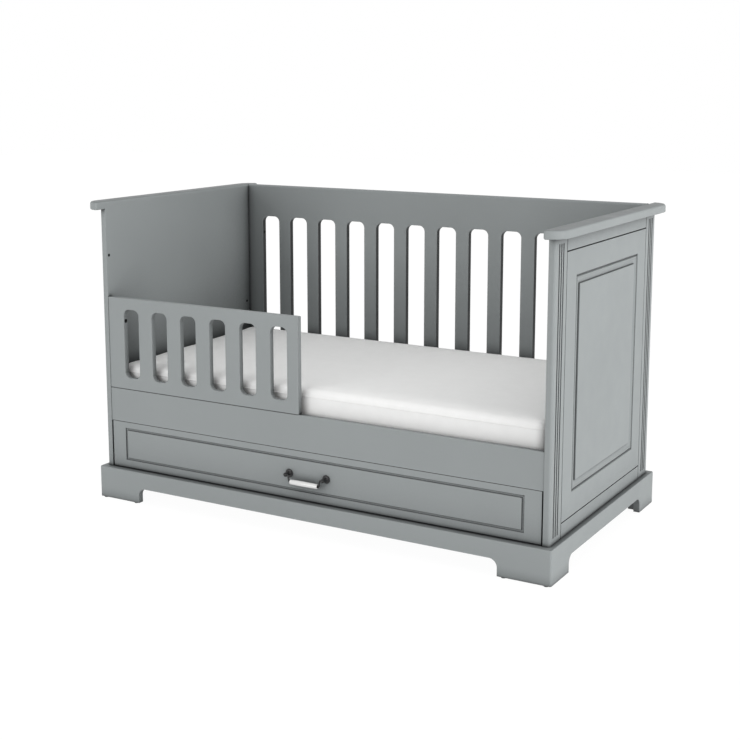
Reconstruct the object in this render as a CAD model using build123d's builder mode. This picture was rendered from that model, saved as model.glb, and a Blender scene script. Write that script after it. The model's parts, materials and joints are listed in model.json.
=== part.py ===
from build123d import *
from math import ceil
import os

# Toddler bed with a half-length guard rail and a full-width drawer.
# Millimetres. X runs along the bed, head end at -X. The front is at -Y. Z is up.
# The origin is on the floor, at the centre of the bed's plan.

# Mattress and the clear space that it is made for
mattress_length = 1400
mattress_width = 700
mattress_thickness = 114
mattress_play = 5
mattress_edge_round = 22
mattress_corner_radius = 30
soft_clearance = 0.3

# Boards
board = 18
edge_round = 2
board_setback = 2
small_chamfer = 0.7

# Plinth frame that carries the bed
glide_thickness = 3
glide_radius = 7
glide_inset = 16
plinth_height = 95
plinth_board = 18
plinth_side_projection = 15.5
plinth_front_projection = 20.5
plinth_edge_round = 3
plinth_corner_round = 5
arch_height = 45.5
arch_corner_radius = 23
front_foot_length = 149.5
side_foot_length = 119
cleat_width = 25
cleat_height = 30
corner_block = 34
corner_block_lift = 6
foot_doubler = 17
stretcher_width = 60
stretcher_thickness = 18

# Ends: a plain inner board, facings on its outer side and a cap on top
end_height = 784
end_core = 12
end_facing = 7
facing_joint = 2.5
pilaster_width = 76
pilaster_edge_round = 6
frieze_width = 40
flute_count = 3
flute_pitch = 13.5
flute_radius = 3.25
flute_end_margin = 19
moulding_margin = 66
moulding_width = 25
moulding_depth = 5
quirk_width = 4
quirk_slope = 1
quirk_depth = 4
bead_start = 7
bead_width = 4
bead_top_depth = 0.5
bead_rise = 1
cove_middle = 17
cove_depth = 3.6
field_step = 3
field_edge = 1
profile_overcut = 1

# Cap boards
cap_thickness = 24
cap_side_overhang = 32
cap_front_overhang = 38
cap_corner_radius = 50
cap_inner_radius = 6
cap_top_round = 7.5
cap_bottom_round = 4
cap_dowel_spacing = 250

# Barrier along the back
barrier_lift = 144
barrier_top_round = 7
slot_count = 12
slot_end_margin = 59.275
slot_width = 65.5
slot_corner_radius = 19
slot_top_margin = 106
slot_bottom_margin = 58

# Fixed panel at the front and the guard rail that stands on it
panel_height = 101.4
guard_length = 676
guard_height = 276.6
guard_slot_count = 6
guard_slot_width = 55.5
guard_slot_corner_radius = 18
guard_slot_bottom_margin = 35
guard_slot_top_margin = 34
guard_free_margin = 37
guard_head_margin = 57.5
guard_corner_radius = 3
joint_chamfer = 1.6
plate_length = 60
plate_width = 26
plate_thickness = 1.5
plate_hole_spacing = 44
plate_corner_radius = 3

# Slatted base
slat_thickness = 12
slat_width = 55
slat_gap_limit = 60
slat_end_play = 2
slat_edge_chamfer = 1.5
slat_screw_length = 32
base_rail_height = 45
base_rail_width = 28
base_rail_inset = 42
base_end_width = 22
base_side_gap = 2
base_lift = 288
base_level_pitch = 119
base_level_count = 3
base_bolt_inset = 18

# Drawer
drawer_side_gap = 3.5
drawer_top_gap = 1.2
drawer_bottom_gap = 2
drawer_front_round = 1.2
drawer_board = 16
drawer_box_lift = 10
drawer_box_height = 112
drawer_back_gap = 45
drawer_bottom_thickness = 5
drawer_bottom_lift = 10
drawer_groove_depth = 7
drawer_groove_play = 0.2
drawer_support_width = 60
front_groove_side_inset = 52
front_groove_top_inset = 22
front_groove_bottom_inset = 27
front_groove_width = 8
front_groove_floor = 4.5
front_groove_depth = 3
drawer_dowel_bite = 10

# Roller runners at both sides of the drawer
runner_gap = 13
runner_sheet = 1.2
runner_length = 600
runner_setback = 4
runner_flange = 10.5
runner_shelf = 12
runner_clearance = 0.5
roller_radius = 10
roller_width = 7
roller_clearance = 0.2
roller_end_distance = 14
roller_side_gap = 0.5
roller_pin_radius = 2.5
roller_pin_play = 0.05
roller_pin_head_radius = 4
roller_pin_head = 0.8
roller_edge_round = 0.8
roller_notch = 28
runner_screw_inset = 90
runner_screw_length = 9

# Drop handle
handle_centres = 122
handle_drop = 68.3
rosette_radius = 11.5
rosette_thickness = 4
rosette_rim = 2.2
rosette_shoulder = 5.5
rosette_dome_rise = 0.6
post_waist_radius = 3.9
post_radius = 4.2
post_reach = 20
post_ball_radius = 6
post_ball_flat = 5.2
bail_wire_radius = 2.25
bail_play = 0.2
bail_drop = 18
bail_pin_bite = 8
bail_shoulder_gap = 2.6
bail_end_play = 0.5
bail_bend_radius = 2.6
grip_length = 93
grip_end_radius = 6.7
grip_middle_radius = 7.5
grip_edge_round = 1.5
ferrule_length = 1.6
ferrule_radius = 4.6

# Fasteners
insert_radius = 4.5
insert_length = 11
insert_bore = 2.5
bolt_radius = 2.4
bolt_hole_radius = 3
bolt_bite = 10
bolt_head_radius = 5
bolt_head = 3.5
bolt_socket_radius = 2
bolt_socket_depth = 2
counterbore_radius = 6
counterbore_depth = 4
upper_bolt_drop = 138
lower_bolt_rise = 118
guard_bolt_drop = 70
dowel_radius = 4
dowel_length = 30
cam_radius = 7.5
cam_depth = 12.5
cam_distance = 34
cam_inset = 28
cam_pin_radius = 3
cam_pin_bite = 10
cam_slot_width = 2
cam_slot_depth = 1.5
screw_radius = 1.8
screw_head_radius = 3.2
plate_screw_head = 1
plate_screw_length = 14
back_screw_length = 45
back_screw_inset = 28
handle_screw_radius = 2
handle_screw_hole_radius = 2.3
handle_screw_head_radius = 4.2
handle_screw_head = 2.4
handle_screw_bite = 11

# Places that follow from the sizes above
inner_length = mattress_length + 2 * mattress_play
inner_depth = mattress_width + 2 * mattress_play
half_length = inner_length / 2
half_depth = inner_depth / 2
board_outer = half_depth + board
end_half_depth = board_outer + board_setback
core_outer = half_length + end_core
facing_outer = core_outer + end_facing
plinth_top = glide_thickness + plinth_height
plinth_half_length = facing_outer + plinth_side_projection
plinth_half_depth = end_half_depth + plinth_front_projection
plinth_inner_x = plinth_half_length - plinth_board
plinth_inner_y = plinth_half_depth - plinth_board
end_top = plinth_top + end_height
bed_top = end_top + cap_thickness
barrier_bottom = plinth_top + barrier_lift
panel_top = barrier_bottom + panel_height
guard_top = panel_top + guard_height
guard_end = guard_length - half_length
slat_top = base_lift + slat_thickness
base_rail_middle = base_lift - base_rail_height / 2
base_bolt_row = half_depth - base_bolt_inset
bolt_row = half_depth + board / 2
upper_bolt_height = end_top - upper_bolt_drop
lower_bolt_height = barrier_bottom + lower_bolt_rise
guard_bolt_height = guard_top - guard_bolt_drop
first_slot_outer = half_length - slot_end_margin
slot_pitch = (2 * first_slot_outer - slot_width) / (slot_count - 1)
guard_slot_outer = guard_head_margin - half_length
guard_last_slot = guard_end - guard_free_margin - guard_slot_width
guard_slot_pitch = (guard_last_slot - guard_slot_outer) / (guard_slot_count - 1)
drawer_bottom_edge = plinth_top + drawer_bottom_gap
drawer_top_edge = barrier_bottom - drawer_top_gap
drawer_half_length = half_length - drawer_side_gap
box_outer = half_length - runner_gap
box_inner = box_outer - drawer_board
box_bottom = plinth_top + drawer_box_lift
box_top = box_bottom + drawer_box_height
box_back = half_depth - drawer_back_gap
runner_front = runner_setback - half_depth
runner_back = runner_front + runner_length
channel_floor = box_bottom + runner_clearance + runner_sheet
rear_roller_height = channel_floor + roller_clearance + roller_radius
channel_top = rear_roller_height + roller_radius + roller_clearance + runner_sheet
rail_flange_height = channel_top + runner_clearance
front_roller_height = rail_flange_height - roller_clearance - roller_radius
front_roller_y = runner_front + roller_end_distance
rear_roller_y = runner_back - roller_end_distance
roller_middle_x = half_length - runner_gap / 2
handle_height = drawer_top_edge - handle_drop
pivot_y = -board_outer - post_reach

os.makedirs("parts", exist_ok=True)
ends = {"head": -1, "foot": 1}


def save(piece, label):
    piece.label = label
    export_step(piece, f"parts/{label}.step")


def across_x(side, x):
    """Plane at side * x that faces outwards; its own Y points up."""
    return Plane(origin=(side * x, 0, 0), x_dir=(0, side, 0), z_dir=(side, 0, 0))


def across_y(y):
    """Plane at y that faces the front; its own X is the bed's and its own Y points up."""
    return Plane.XZ.offset(-y)


def outer_edges_at(edges, axis, outward):
    """The edges furthest out along an axis, on the side that outward gives."""
    return edges.group_by(axis)[-1 if outward > 0 else 0]


# Plinth frame: four boards with bracket feet, blocks, cleats and stretchers inside

def plinth_elevation(length, foot):
    with Locations((0, glide_thickness + plinth_height / 2)):
        Rectangle(length, plinth_height)
    with Locations((0, glide_thickness + arch_height / 2)):
        Rectangle(length - 2 * foot, arch_height, mode=Mode.SUBTRACT)


for place, outward in (("front", -1), ("back", 1)):
    with BuildPart() as plinth_long:
        inner_or_outer = plinth_inner_y if outward < 0 else plinth_half_depth
        with BuildSketch(across_y(outward * inner_or_outer)) as face:
            plinth_elevation(2 * plinth_half_length, front_foot_length)
            fillet(face.vertices().group_by(Axis.Y)[1], arch_corner_radius)
        extrude(amount=plinth_board)
        outer = outer_edges_at(plinth_long.edges().filter_by(Axis.Z), Axis.Y, outward).sort_by(Axis.X)
        fillet([outer[0], outer[-1]], plinth_corner_round)
        top_edges = plinth_long.edges().group_by(Axis.Z)[-1].filter_by(Axis.X)
        fillet(outer_edges_at(top_edges, Axis.Y, outward), plinth_edge_round)
    save(plinth_long.part, f"plinth_{place}")

for end, side in ends.items():
    with BuildPart() as plinth_short:
        with BuildSketch(across_x(side, plinth_inner_x)) as face:
            plinth_elevation(2 * plinth_inner_y, side_foot_length - plinth_board)
            fillet(face.vertices().group_by(Axis.Y)[1], arch_corner_radius)
        extrude(amount=plinth_board)
        top_edges = plinth_short.edges().group_by(Axis.Z)[-1].filter_by(Axis.Y)
        fillet(outer_edges_at(top_edges, Axis.X, side), plinth_edge_round)
    save(plinth_short.part, f"plinth_{end}_side")

with BuildPart() as corner_blocks:
    with BuildSketch(Plane.XY.offset(plinth_top)):
        with GridLocations(2 * plinth_inner_x - corner_block, 2 * plinth_inner_y - corner_block, 2, 2):
            Rectangle(corner_block, corner_block)
    extrude(amount=corner_block_lift - plinth_height)
    with BuildSketch(Plane.XY.offset(plinth_top - cleat_height)):
        doubler_length = side_foot_length - plinth_board
        with GridLocations(2 * plinth_inner_x - foot_doubler, 2 * plinth_inner_y - doubler_length, 2, 2):
            Rectangle(foot_doubler, doubler_length)
    extrude(amount=corner_block_lift + cleat_height - plinth_height)
save(corner_blocks.part, "plinth_corner_blocks")

with BuildPart() as cleats:
    with BuildSketch(Plane.XY.offset(plinth_top)):
        with GridLocations(2 * plinth_inner_x - cleat_width, 0, 2, 1):
            Rectangle(cleat_width, 2 * (plinth_inner_y - corner_block))
    extrude(amount=-cleat_height)
save(cleats.part, "plinth_cleats")

with BuildPart() as stretchers:
    with BuildSketch(Plane.XY.offset(plinth_top)):
        with GridLocations(0, 2 * plinth_inner_y - stretcher_width, 1, 2):
            Rectangle(2 * (plinth_inner_x - corner_block), stretcher_width)
    extrude(amount=-stretcher_thickness)
save(stretchers.part, "plinth_stretchers")

with BuildPart() as glides:
    with BuildSketch(Plane.XY):
        foot_middle = plinth_half_length - front_foot_length + glide_inset
        for x in (plinth_half_length - glide_inset, foot_middle):
            with GridLocations(2 * x, 2 * plinth_half_depth - plinth_board, 2, 2):
                Circle(glide_radius)
    extrude(amount=glide_thickness)
save(glides.part, "floor_glides")


# Ends

cabinet_web = half_length - runner_sheet
drawer_web = box_outer + runner_sheet
base_levels = [base_rail_middle + level * base_level_pitch for level in range(base_level_count)]
base_points = [(y, z) for y in (-base_bolt_row, base_bolt_row) for z in base_levels]
front_points = [(-bolt_row, z) for z in (guard_bolt_height, upper_bolt_height)]
back_bolt_points = [(bolt_row, z) for z in (lower_bolt_height, upper_bolt_height)]
insert_points = base_points + front_points + back_bolt_points
panel_cam_heights = (barrier_bottom + cam_inset, panel_top - cam_inset)
lower_cam_heights = (plinth_top + cam_inset, barrier_bottom - cam_inset)
cam_points = [(-bolt_row, z) for z in panel_cam_heights] + [(bolt_row, z) for z in lower_cam_heights]
channel_middle = (channel_floor + channel_top - runner_sheet) / 2
runner_screw_ys = (runner_front + runner_screw_inset, runner_back - runner_screw_inset)
cap_dowel_points = [(core_outer - end_core / 2, step * cap_dowel_spacing) for step in (-1, 0, 1)]


def screw(length, radius=screw_radius, head=screw_head_radius, mode=Mode.ADD):
    """Countersunk screw that points down, with the top of its head at the origin."""
    align = (Align.CENTER, Align.CENTER, Align.MAX)
    Cylinder(radius, length, align=align, mode=mode)
    Cone(radius, head, head - radius, align=align, mode=mode)


def flat_screw(length):
    """Pan-head screw that points down, with the underside of its head at the origin."""
    Cylinder(screw_radius, length, align=(Align.CENTER, Align.CENTER, Align.MAX))
    Cylinder(screw_head_radius, plate_screw_head, align=(Align.CENTER, Align.CENTER, Align.MIN))


def cabinet_screw_planes(side):
    """Where the screws of the cabinet runner on one side start, facing the middle of the bed."""
    x = side * cabinet_web
    return [Plane(origin=(x, y, channel_middle), z_dir=(-side, 0, 0)) for y in runner_screw_ys]


def drawer_screw_planes(side):
    """Where the screws of the drawer runner on one side start, facing outwards."""
    return [Plane(origin=(side * drawer_web, y, channel_middle), z_dir=(side, 0, 0)) for y in runner_screw_ys]


def back_screw_planes(side):
    """Where the screws that hold the drawer's back start, on the outer face of one side."""
    y = box_back - drawer_board / 2
    return [Plane(origin=(side * box_outer, y, z), z_dir=(side, 0, 0)) for z in box_screw_heights]


def mirrored(points, side):
    """Points (y, z) of the bed as points on a plane made by across_x."""
    return [(side * y, z) for y, z in points]


for end, side in ends.items():
    with BuildPart() as core:
        with BuildSketch(across_x(side, half_length)):
            with Locations((0, (plinth_top + end_top) / 2)):
                Rectangle(2 * end_half_depth, end_height)
        extrude(amount=end_core)
        inner_edges = outer_edges_at(core.edges().filter_by(Axis.Z), Axis.X, -side)
        fillet(inner_edges, edge_round)
        for points, radius, depth in ((insert_points, insert_radius, insert_length),
                                      (cam_points, cam_pin_radius, cam_pin_bite)):
            with BuildSketch(across_x(side, half_length)):
                with Locations(*mirrored(points, side)):
                    Circle(radius)
            extrude(amount=depth, mode=Mode.SUBTRACT)
        with Locations(*cabinet_screw_planes(side)):
            screw(runner_screw_length, mode=Mode.SUBTRACT)
        with BuildSketch(Plane.XY.offset(end_top)):
            with Locations(*[(side * x, y) for x, y in cap_dowel_points]):
                Circle(dowel_radius)
        extrude(amount=-dowel_length / 2, mode=Mode.SUBTRACT)
    save(core.part, f"{end}_end_board")

    for place, outward in (("front", -1), ("back", 1)):
        pilaster_inner = end_half_depth - pilaster_width + facing_joint / 2
        pilaster_middle = outward * (end_half_depth - pilaster_width / 2)
        with BuildPart() as pilaster:
            with BuildSketch(across_x(side, core_outer)):
                with Locations((side * outward * (end_half_depth + pilaster_inner) / 2,
                                (plinth_top + end_top) / 2)):
                    Rectangle(end_half_depth - pilaster_inner, end_height)
            extrude(amount=end_facing)
            face_edges = outer_edges_at(pilaster.edges().filter_by(Axis.Z), Axis.X, side)
            fillet(outer_edges_at(face_edges, Axis.Y, outward), pilaster_edge_round)
            chamfer(outer_edges_at(face_edges, Axis.Y, -outward), small_chamfer)
            flute_bottom = plinth_top + flute_end_margin
            flute_top = end_top - flute_end_margin
            for flute in range(flute_count):
                flute_y = pilaster_middle + (flute - (flute_count - 1) / 2) * flute_pitch
                with BuildSketch(Plane.XY.offset(flute_bottom)):
                    with Locations((side * facing_outer, flute_y)):
                        Circle(flute_radius)
                extrude(amount=flute_top - flute_bottom, mode=Mode.SUBTRACT)
                with Locations((side * facing_outer, flute_y, flute_bottom),
                               (side * facing_outer, flute_y, flute_top)):
                    Sphere(flute_radius, mode=Mode.SUBTRACT)
        save(pilaster.part, f"{end}_{place}_pilaster")

    facing_width = 2 * (end_half_depth - pilaster_width) - facing_joint
    frieze_cut = frieze_width - facing_joint / 2
    for place, middle in (("top_frieze", end_top - frieze_cut / 2),
                          ("bottom_frieze", plinth_top + frieze_cut / 2)):
        with BuildPart() as frieze:
            with BuildSketch(across_x(side, core_outer)):
                with Locations((0, middle)):
                    Rectangle(facing_width, frieze_cut)
            extrude(amount=end_facing)
            chamfer(frieze.faces().sort_by(Axis.X)[-1 if side > 0 else 0].edges(), small_chamfer)
        save(frieze.part, f"{end}_{place}")

    panel_height_cut = end_height - 2 * frieze_width - facing_joint
    panel_middle = (plinth_top + end_top) / 2
    routed_y = facing_width / 2 + facing_joint / 2 - moulding_margin
    routed_z = panel_height_cut / 2 + facing_joint / 2 - moulding_margin
    with BuildPart() as raised_panel:
        with BuildSketch(across_x(side, core_outer)):
            with Locations((0, panel_middle)):
                Rectangle(facing_width, panel_height_cut)
        extrude(amount=end_facing)
        chamfer(raised_panel.faces().sort_by(Axis.X)[-1 if side > 0 else 0].edges(), small_chamfer)
        with BuildLine(across_x(side, facing_outer)) as moulding_path:
            Polyline((0, panel_middle - routed_z), (routed_y, panel_middle - routed_z),
                     (routed_y, panel_middle + routed_z), (-routed_y, panel_middle + routed_z),
                     (-routed_y, panel_middle - routed_z), (0, panel_middle - routed_z))
        profile_start = (side * facing_outer, 0, panel_middle - routed_z)
        with BuildSketch(Plane(origin=profile_start, x_dir=(0, 0, 1), z_dir=(0, side, 0))):
            with BuildLine():
                quirk = Polyline((0, profile_overcut), (0, 0), (quirk_width - quirk_slope, -quirk_depth),
                                 (quirk_width, -quirk_depth), (bead_start, -bead_top_depth - bead_rise))
                bead = ThreePointArc(quirk @ 1, (bead_start + bead_width / 2, -bead_top_depth),
                                     (bead_start + bead_width, -bead_top_depth - bead_rise))
                hollow = Spline(bead @ 1, (cove_middle, -cove_depth), (moulding_width, -moulding_depth))
                Polyline(hollow @ 1, (moulding_width + field_step / 2, -field_edge),
                         (moulding_width + field_step, 0), (moulding_width + field_step, profile_overcut),
                         (0, profile_overcut))
            make_face()
        sweep(path=moulding_path.line, transition=Transition.RIGHT, mode=Mode.SUBTRACT)
    save(raised_panel.part, f"{end}_raised_panel")

    cap_half_depth = end_half_depth + cap_front_overhang
    cap_outer = facing_outer + cap_side_overhang
    with BuildPart() as cap:
        with BuildSketch(Plane.XY.offset(end_top)):
            with Locations((side * (half_length + cap_outer) / 2, 0)):
                Rectangle(cap_outer - half_length, 2 * cap_half_depth)
        extrude(amount=cap_thickness)
        uprights = cap.edges().filter_by(Axis.Z)
        fillet(outer_edges_at(uprights, Axis.X, side), cap_corner_radius)
        inner_uprights = outer_edges_at(cap.edges().filter_by(Axis.Z), Axis.X, -side)
        fillet(inner_uprights, cap_inner_radius)
        fillet(cap.faces().sort_by(Axis.Z)[-1].edges(), cap_top_round)
        fillet(cap.faces().sort_by(Axis.Z)[0].edges(), cap_bottom_round)
        with BuildSketch(Plane.XY.offset(end_top)):  # keeps the inner face flush with the board below
            with Locations((side * (half_length + cap_bottom_round / 2), 0)):
                Rectangle(cap_bottom_round, 2 * end_half_depth)
        extrude(amount=cap_bottom_round)
        with BuildSketch(Plane.XY.offset(end_top)):
            with Locations(*[(side * x, y) for x, y in cap_dowel_points]):
                Circle(dowel_radius)
        extrude(amount=dowel_length / 2, mode=Mode.SUBTRACT)
    save(cap.part, f"{end}_cap")


# Boards between the ends: barrier along the back, closing board below it, fixed panel and guard rail

def board_between(start, stop, bottom, top):
    with Locations(((start + stop) / 2, (bottom + top) / 2)):
        Rectangle(stop - start, top - bottom)


def slots(first_middle, count, pitch, width, bottom, top, corner):
    """Upright slots with round corners, cut from the sketch of a board."""
    for slot in range(count):
        with Locations((first_middle + slot * pitch, (bottom + top) / 2)):
            RectangleRounded(width, top - bottom, corner, mode=Mode.SUBTRACT)


def side_holes(points, radius, depth, x=half_length):
    """Round holes at (y, z) points into both ends of a board whose ends lie at -x and x."""
    for side in ends.values():
        with BuildSketch(across_x(side, x)) as outline:
            with Locations(*mirrored(points, side)):
                Circle(radius)
        extrude(outline.sketch, amount=-depth, mode=Mode.SUBTRACT)


def cam_bores(heights, y):
    """Bores for the cam housings, cut into the inner face of a board at y."""
    inward = 1 if y < 0 else -1
    places = [(side * (half_length - cam_distance), z) for side in ends.values() for z in heights]
    with BuildSketch(across_y(y)) as outline:
        with Locations(*places):
            Circle(cam_radius)
    extrude(outline.sketch, amount=inward * cam_depth, mode=Mode.SUBTRACT)


slot_bottom = barrier_bottom + slot_bottom_margin
slot_top = bed_top - slot_top_margin

with BuildPart() as back_barrier:
    with BuildSketch(across_y(board_outer)):
        board_between(-half_length, half_length, barrier_bottom, bed_top)
        slots(-(slot_count - 1) / 2 * slot_pitch, slot_count, slot_pitch, slot_width,
              slot_bottom, slot_top, slot_corner_radius)
    extrude(amount=board)
    broad_faces = back_barrier.faces().sort_by(Axis.Y)
    slot_edges = [edge for face in (broad_faces[0], broad_faces[-1])
                  for wire in face.inner_wires() for edge in wire.edges()]
    fillet(slot_edges, edge_round)
    fillet(back_barrier.edges().group_by(Axis.Z)[-1].filter_by(Axis.X), barrier_top_round)
    side_holes(back_bolt_points, bolt_hole_radius, half_length - first_slot_outer)
    side_holes(back_bolt_points, counterbore_radius, counterbore_depth, first_slot_outer + counterbore_depth)
save(back_barrier.part, "back_barrier")

with BuildPart() as back_lower_panel:
    with BuildSketch(across_y(board_outer)):
        board_between(-half_length, half_length, plinth_top, barrier_bottom)
    extrude(amount=board)
    side_holes([(bolt_row, z) for z in lower_cam_heights], cam_pin_radius, cam_distance)
    cam_bores(lower_cam_heights, half_depth)
save(back_lower_panel.part, "back_lower_panel")

guard_middle = (guard_end - half_length) / 2
guard_dowel_points = [(guard_middle + step * guard_length / 3, -bolt_row) for step in (-1, 0, 1)]
plate_middles = [guard_middle - guard_length / 4, guard_middle + guard_length / 4]
plate_screw_points = [(x + step * plate_hole_spacing / 2, panel_top + rise * plate_width / 4)
                      for x in plate_middles for step in (-1, 1) for rise in (-1, 1)]


def dowel_holes(points, depth):
    """Dowel holes at (x, y) points in the joint of the panel and the guard rail."""
    with BuildSketch(Plane.XY.offset(panel_top)) as outline:
        with Locations(*points):
            Circle(dowel_radius)
    extrude(outline.sketch, amount=depth, mode=Mode.SUBTRACT)


def plate_holes(depth):
    with BuildSketch(across_y(-half_depth)) as outline:
        with Locations(*plate_screw_points):
            Circle(screw_radius)
    extrude(outline.sketch, amount=depth, mode=Mode.SUBTRACT)


with BuildPart() as front_panel:
    with BuildSketch(across_y(-half_depth)):
        board_between(-half_length, half_length, barrier_bottom, panel_top)
    extrude(amount=board)
    chamfer(front_panel.edges().group_by(Axis.Z)[-1].filter_by(Axis.X), joint_chamfer)
    side_holes([(-bolt_row, z) for z in panel_cam_heights], cam_pin_radius, cam_distance)
    cam_bores(panel_cam_heights, -half_depth)
    dowel_holes(guard_dowel_points, -dowel_length / 2)
    plate_holes(plate_screw_length)
save(front_panel.part, "front_panel")

guard_bolt_points = [(-bolt_row, guard_bolt_height)]
with BuildPart() as guard_rail:
    with BuildSketch(across_y(-half_depth)) as guard_face:
        board_between(-half_length, guard_end, panel_top, guard_top)
        fillet(guard_face.vertices().sort_by(Axis.X)[-2:].sort_by(Axis.Y)[-1], guard_corner_radius)
        slots(guard_slot_outer + guard_slot_width / 2, guard_slot_count, guard_slot_pitch, guard_slot_width,
              panel_top + guard_slot_bottom_margin, guard_top - guard_slot_top_margin,
              guard_slot_corner_radius)
    extrude(amount=board)
    chamfer(guard_rail.edges().group_by(Axis.Z)[0].filter_by(Axis.X), joint_chamfer)
    round_edges = []
    for face in (guard_rail.faces().sort_by(Axis.Y)[0], guard_rail.faces().sort_by(Axis.Y)[-1]):
        for wire in face.inner_wires():
            round_edges += wire.edges()
        rim = face.outer_wire().edges()
        round_edges += rim - rim.group_by(Axis.Z)[0] - rim.group_by(Axis.X)[0]
    fillet(round_edges, edge_round)
    with BuildSketch(across_x(-1, half_length)):
        with Locations(*mirrored(guard_bolt_points, -1)):
            Circle(bolt_hole_radius)
    extrude(amount=-(half_length + guard_slot_outer), mode=Mode.SUBTRACT)
    with BuildSketch(across_x(-1, -guard_slot_outer)):
        with Locations(*mirrored(guard_bolt_points, -1)):
            Circle(counterbore_radius)
    extrude(amount=counterbore_depth, mode=Mode.SUBTRACT)
    dowel_holes(guard_dowel_points, dowel_length / 2)
    plate_holes(plate_screw_length)
save(guard_rail.part, "guard_rail")

with BuildPart() as guard_plates:
    with BuildSketch(across_y(-half_depth)):
        with Locations(*[(x, panel_top) for x in plate_middles]):
            RectangleRounded(plate_length, plate_width, plate_corner_radius)
        with Locations(*plate_screw_points):
            Circle(screw_radius, mode=Mode.SUBTRACT)
    extrude(amount=-plate_thickness)
save(guard_plates.part, "guard_rail_plates")


# Slatted base, hung on one of three rows of threaded inserts

base_half_depth = half_depth - base_side_gap
long_rail_half_length = half_length - base_end_width
long_rail_y = half_depth - base_rail_inset - base_rail_width / 2
slat_span = 2 * (half_length - slat_end_play) - slat_width
slat_gaps = ceil(slat_span / (slat_width + slat_gap_limit))
slat_pitch = slat_span / slat_gaps
slat_xs = [step * slat_pitch - slat_span / 2 for step in range(slat_gaps + 1)]
slat_screw_points = [(x, y) for x in slat_xs for y in (-long_rail_y, long_rail_y)]
base_bolt_points = [(y, base_rail_middle) for y in (-base_bolt_row, base_bolt_row)]


for place, outward in (("front", -1), ("back", 1)):
    with BuildPart() as long_rail:
        with BuildSketch(Plane.XY.offset(base_lift)):
            with Locations((0, outward * long_rail_y)):
                Rectangle(2 * long_rail_half_length, base_rail_width)
        extrude(amount=-base_rail_height)
        with Locations(*[(x, y, slat_top) for x, y in slat_screw_points if y * outward > 0]):
            screw(slat_screw_length, mode=Mode.SUBTRACT)
    save(long_rail.part, f"base_{place}_rail")

with BuildPart() as end_rails:
    for side in ends.values():
        with BuildSketch(across_x(side, half_length - base_end_width)):
            with Locations((0, base_rail_middle)):
                Rectangle(2 * base_half_depth, base_rail_height)
            with Locations(*mirrored(base_bolt_points, side)):
                Circle(bolt_hole_radius, mode=Mode.SUBTRACT)
        extrude(amount=base_end_width)
        with BuildSketch(across_x(side, half_length - base_end_width)):
            with Locations(*mirrored(base_bolt_points, side)):
                Circle(counterbore_radius)
        extrude(amount=counterbore_depth, mode=Mode.SUBTRACT)
save(end_rails.part, "base_end_rails")

with BuildPart() as slats:
    with BuildSketch(Plane.XY.offset(base_lift)):
        with Locations(*[(x, 0) for x in slat_xs]):
            Rectangle(slat_width, 2 * base_half_depth)
    extrude(amount=slat_thickness)
    chamfer(slats.edges().group_by(Axis.Z)[-1].filter_by(Axis.Y), slat_edge_chamfer)
    with Locations(*[(x, y, slat_top) for x, y in slat_screw_points]):
        screw(slat_screw_length, mode=Mode.SUBTRACT)
save(slats.part, "base_slats")


# Mattress

with BuildPart() as mattress:
    with BuildSketch(Plane.XY.offset(slat_top + soft_clearance)):
        RectangleRounded(mattress_length, mattress_width, mattress_corner_radius)
    extrude(amount=mattress_thickness)
    fillet(mattress.faces().sort_by(Axis.Z)[0].edges() + mattress.faces().sort_by(Axis.Z)[-1].edges(),
           mattress_edge_round)
save(mattress.part, "mattress")


# Drawer

drawer_front_back = -half_depth
bottom_low = box_bottom + drawer_bottom_lift
bottom_high = bottom_low + drawer_bottom_thickness
box_side_middle = (box_bottom + box_top) / 2
box_screw_heights = (box_bottom + back_screw_inset, box_top - back_screw_inset)
box_corner_points = [(side * (box_inner + drawer_board / 2), z)
                     for side in ends.values() for z in box_screw_heights]
handle_points = [(side * handle_centres / 2, handle_height) for side in ends.values()]

with BuildPart() as drawer_front:
    with BuildSketch(across_y(drawer_front_back)):
        board_between(-drawer_half_length, drawer_half_length, drawer_bottom_edge, drawer_top_edge)
    extrude(amount=board)
    fillet(drawer_front.faces().sort_by(Axis.Y)[0].edges(), drawer_front_round)
    groove_low = drawer_bottom_edge + front_groove_bottom_inset
    groove_high = drawer_top_edge - front_groove_top_inset
    groove_end = drawer_half_length - front_groove_side_inset
    with BuildLine(across_y(-board_outer)) as groove_path:
        Polyline((0, groove_low), (groove_end, groove_low), (groove_end, groove_high),
                 (-groove_end, groove_high), (-groove_end, groove_low), (0, groove_low))
    with BuildSketch(Plane(origin=(0, -board_outer, groove_low), x_dir=(0, 0, 1), z_dir=(-1, 0, 0))):
        with BuildLine():
            Polyline((-front_groove_width / 2, 0), (-front_groove_floor / 2, front_groove_depth),
                     (front_groove_floor / 2, front_groove_depth), (front_groove_width / 2, 0),
                     (front_groove_width / 2, -profile_overcut), (-front_groove_width / 2, -profile_overcut),
                     (-front_groove_width / 2, 0))
        make_face()
    sweep(path=groove_path.line, transition=Transition.RIGHT, mode=Mode.SUBTRACT)
    with BuildSketch(across_y(-board_outer)):
        with Locations(*handle_points):
            Circle(handle_screw_hole_radius)
    extrude(amount=-board, mode=Mode.SUBTRACT)
    with BuildSketch(across_y(drawer_front_back)):
        board_between(-box_inner, box_inner, bottom_low, bottom_high)
    extrude(amount=drawer_groove_depth, mode=Mode.SUBTRACT)
    with BuildSketch(across_y(drawer_front_back)):
        with Locations(*box_corner_points):
            Circle(dowel_radius)
    extrude(amount=drawer_dowel_bite, mode=Mode.SUBTRACT)
save(drawer_front.part, "drawer_front")

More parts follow.
